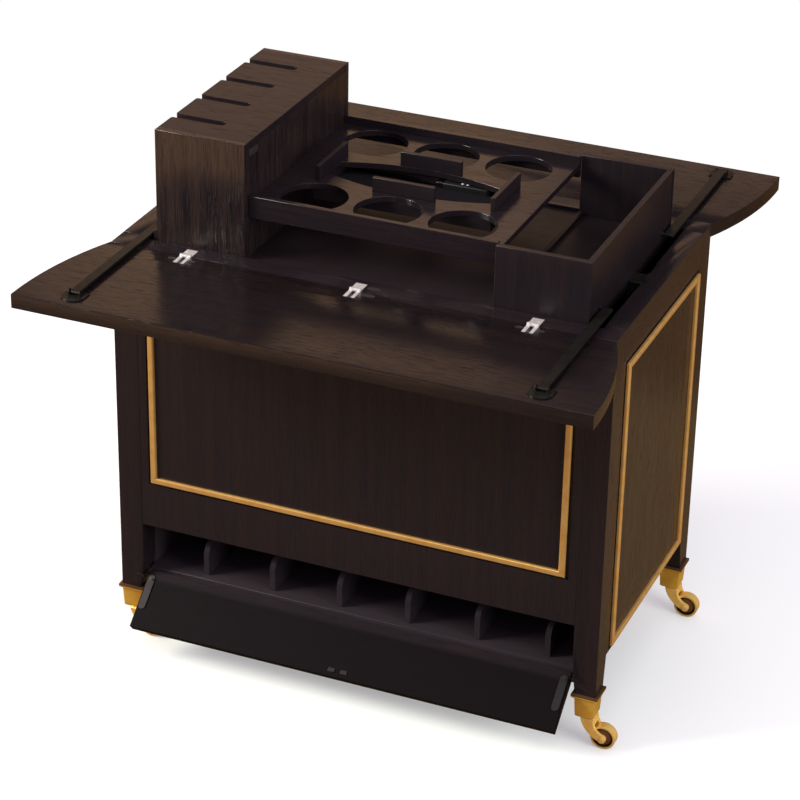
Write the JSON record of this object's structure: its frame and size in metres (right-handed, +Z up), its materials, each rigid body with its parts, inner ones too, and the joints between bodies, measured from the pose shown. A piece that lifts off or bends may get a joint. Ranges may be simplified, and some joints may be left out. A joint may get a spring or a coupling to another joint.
{
  "type": "cheese trolley",
  "caption": "Wheeled cheese and bar trolley whose folding top leaves raise an insert with a glass block, bottle tray and bin.",
  "frame": {"origin": "on the floor under the middle of the cabinet", "axes": "+Z up, X along the cabinet, -Y is the side with the bottle bay"},
  "size_m": [0.944, 0.948, 0.925],
  "materials": {
    "dark_oak": "dark stained open grain oak, semi gloss lacquer",
    "brass": "satin brushed brass",
    "dark_steel": "dark grey satin steel",
    "nickel": "bright nickel",
    "felt": "black felt",
    "blade": "dark polished steel",
    "black_handle": "black riveted handle"
  },
  "bodies": {
    "cabinet": {"post_front_left": "dark_oak", "post_front_right": "dark_oak", "post_rear_left": "dark_oak", "post_rear_right": "dark_oak", "rim_rail_front": "dark_oak", "panel_front": "dark_oak", "bead_front": "brass", "rim_rail_rear": "dark_oak", "panel_rear": "dark_oak", "bead_rear": "brass", "rim_rail_left": "dark_oak", "panel_left": "dark_oak", "bead_left": "brass", "rim_rail_right": "dark_oak", "panel_right": "dark_oak", "bead_right": "brass", "bottle_shelf": "dark_oak", "bottle_dividers": "dark_oak", "bay_end_boards": "dark_oak", "well_floor": "dark_oak", "lift_guides": "dark_steel", "flap_pivots": "dark_steel", "rim_hinges": "nickel", "caster_cups": "brass"},
    "insert": {"lift_base": "dark_oak", "left_end_rail": "dark_oak", "block_boards": "dark_oak", "block_lid": "dark_oak", "blank_plate": "dark_steel", "tray_rails": "dark_oak", "tray_plate": "dark_oak", "knife_guard": "dark_oak", "knife_well": "dark_oak", "knife_felt": "felt", "knife_blade": "blade", "knife_handle": "black_handle", "bin_boards": "dark_oak", "guide_shoes": "dark_steel", "arm_studs": "dark_steel"},
    "front_leaf": {"front_leaf": "dark_oak", "front_leaf_hinges": "nickel", "front_leaf_brackets": "dark_steel"},
    "rear_leaf": {"rear_leaf": "dark_oak", "rear_leaf_hinges": "nickel", "rear_leaf_brackets": "dark_steel"},
    "flap": {"bottle_flap": "dark_oak", "flap_fittings": "dark_steel"},
    "arm_front_left": {"arm_front_left": "dark_steel"},
    "arm_front_right": {"arm_front_right": "dark_steel"},
    "arm_rear_left": {"arm_rear_left": "dark_steel"},
    "arm_rear_right": {"arm_rear_right": "dark_steel"},
    "caster_front_left": {"caster_horn_front_left": "brass"},
    "wheel_front_left": {"caster_wheel_front_left": "brass"},
    "caster_front_right": {"caster_horn_front_right": "brass"},
    "wheel_front_right": {"caster_wheel_front_right": "brass"},
    "caster_rear_left": {"caster_horn_rear_left": "brass"},
    "wheel_rear_left": {"caster_wheel_rear_left": "brass"},
    "caster_rear_right": {"caster_horn_rear_right": "brass"},
    "wheel_rear_right": {"caster_wheel_rear_right": "brass"}
  },
  "joints": [
    {"name": "front_leaf_fold", "type": "hinge", "parent": "cabinet", "child": "front_leaf", "pos_m": [0, -0.23775, 0.73625], "axis": [1, 0, 0], "range_deg": [-180, 0]},
    {"name": "rear_leaf_fold", "type": "hinge", "parent": "cabinet", "child": "rear_leaf", "pos_m": [0, 0.23775, 0.73625], "axis": [1, 0, 0], "range_deg": [0, 180]},
    {"name": "insert_lift", "type": "slide", "parent": "cabinet", "child": "insert", "axis": [0, 0, 1], "range_m": [-0.27648, 0]},
    {"name": "arm_fold_front_left", "type": "hinge", "parent": "front_leaf", "child": "arm_front_left", "pos_m": [-0.38, -0.438, 0.742], "axis": [1, 0, 0], "range_deg": [0, 66.98]},
    {"name": "arm_fold_front_right", "type": "hinge", "parent": "front_leaf", "child": "arm_front_right", "pos_m": [0.38, -0.438, 0.742], "axis": [1, 0, 0], "range_deg": [0, 66.98]},
    {"name": "arm_fold_rear_left", "type": "hinge", "parent": "rear_leaf", "child": "arm_rear_left", "pos_m": [-0.38, 0.438, 0.742], "axis": [1, 0, 0], "range_deg": [-66.98, 0]},
    {"name": "arm_fold_rear_right", "type": "hinge", "parent": "rear_leaf", "child": "arm_rear_right", "pos_m": [0.38, 0.438, 0.742], "axis": [1, 0, 0], "range_deg": [-66.98, 0]},
    {"name": "flap_fold", "type": "hinge", "parent": "cabinet", "child": "flap", "pos_m": [0, -0.2247, 0.1238], "axis": [1, 0, 0], "range_deg": [-130, 0]},
    {"name": "swivel_front_left", "type": "hinge", "parent": "cabinet", "child": "caster_front_left", "pos_m": [-0.407, -0.2195, 0.055], "axis": [0, 0, 1], "continuous": true},
    {"name": "roll_front_left", "type": "hinge", "parent": "caster_front_left", "child": "wheel_front_left", "pos_m": [-0.3765, -0.2195, 0.021], "axis": [0, 1, 0], "continuous": true},
    {"name": "swivel_front_right", "type": "hinge", "parent": "cabinet", "child": "caster_front_right", "pos_m": [0.407, -0.2195, 0.055], "axis": [0, 0, 1], "continuous": true},
    {"name": "roll_front_right", "type": "hinge", "parent": "caster_front_right", "child": "wheel_front_right", "pos_m": [0.4375, -0.2195, 0.021], "axis": [0, 1, 0], "continuous": true},
    {"name": "swivel_rear_left", "type": "hinge", "parent": "cabinet", "child": "caster_rear_left", "pos_m": [-0.407, 0.2195, 0.055], "axis": [0, 0, 1], "continuous": true},
    {"name": "roll_rear_left", "type": "hinge", "parent": "caster_rear_left", "child": "wheel_rear_left", "pos_m": [-0.3765, 0.2195, 0.021], "axis": [0, 1, 0], "continuous": true},
    {"name": "swivel_rear_right", "type": "hinge", "parent": "cabinet", "child": "caster_rear_right", "pos_m": [0.407, 0.2195, 0.055], "axis": [0, 0, 1], "continuous": true},
    {"name": "roll_rear_right", "type": "hinge", "parent": "caster_rear_right", "child": "wheel_rear_right", "pos_m": [0.4375, 0.2195, 0.021], "axis": [0, 1, 0], "continuous": true}
  ],
  "couplings": [
    {"joint": "rear_leaf_fold", "follows": "front_leaf_fold", "ratio": -1},
    {"joint": "insert_lift", "follows": "front_leaf_fold", "m_per_rad": 0.088002},
    {"joint": "arm_fold_front_left", "follows": "front_leaf_fold", "ratio": -0.37209},
    {"joint": "arm_fold_front_right", "follows": "front_leaf_fold", "ratio": -0.37209},
    {"joint": "arm_fold_rear_left", "follows": "front_leaf_fold", "ratio": 0.37209},
    {"joint": "arm_fold_rear_right", "follows": "front_leaf_fold", "ratio": 0.37209}
  ]
}
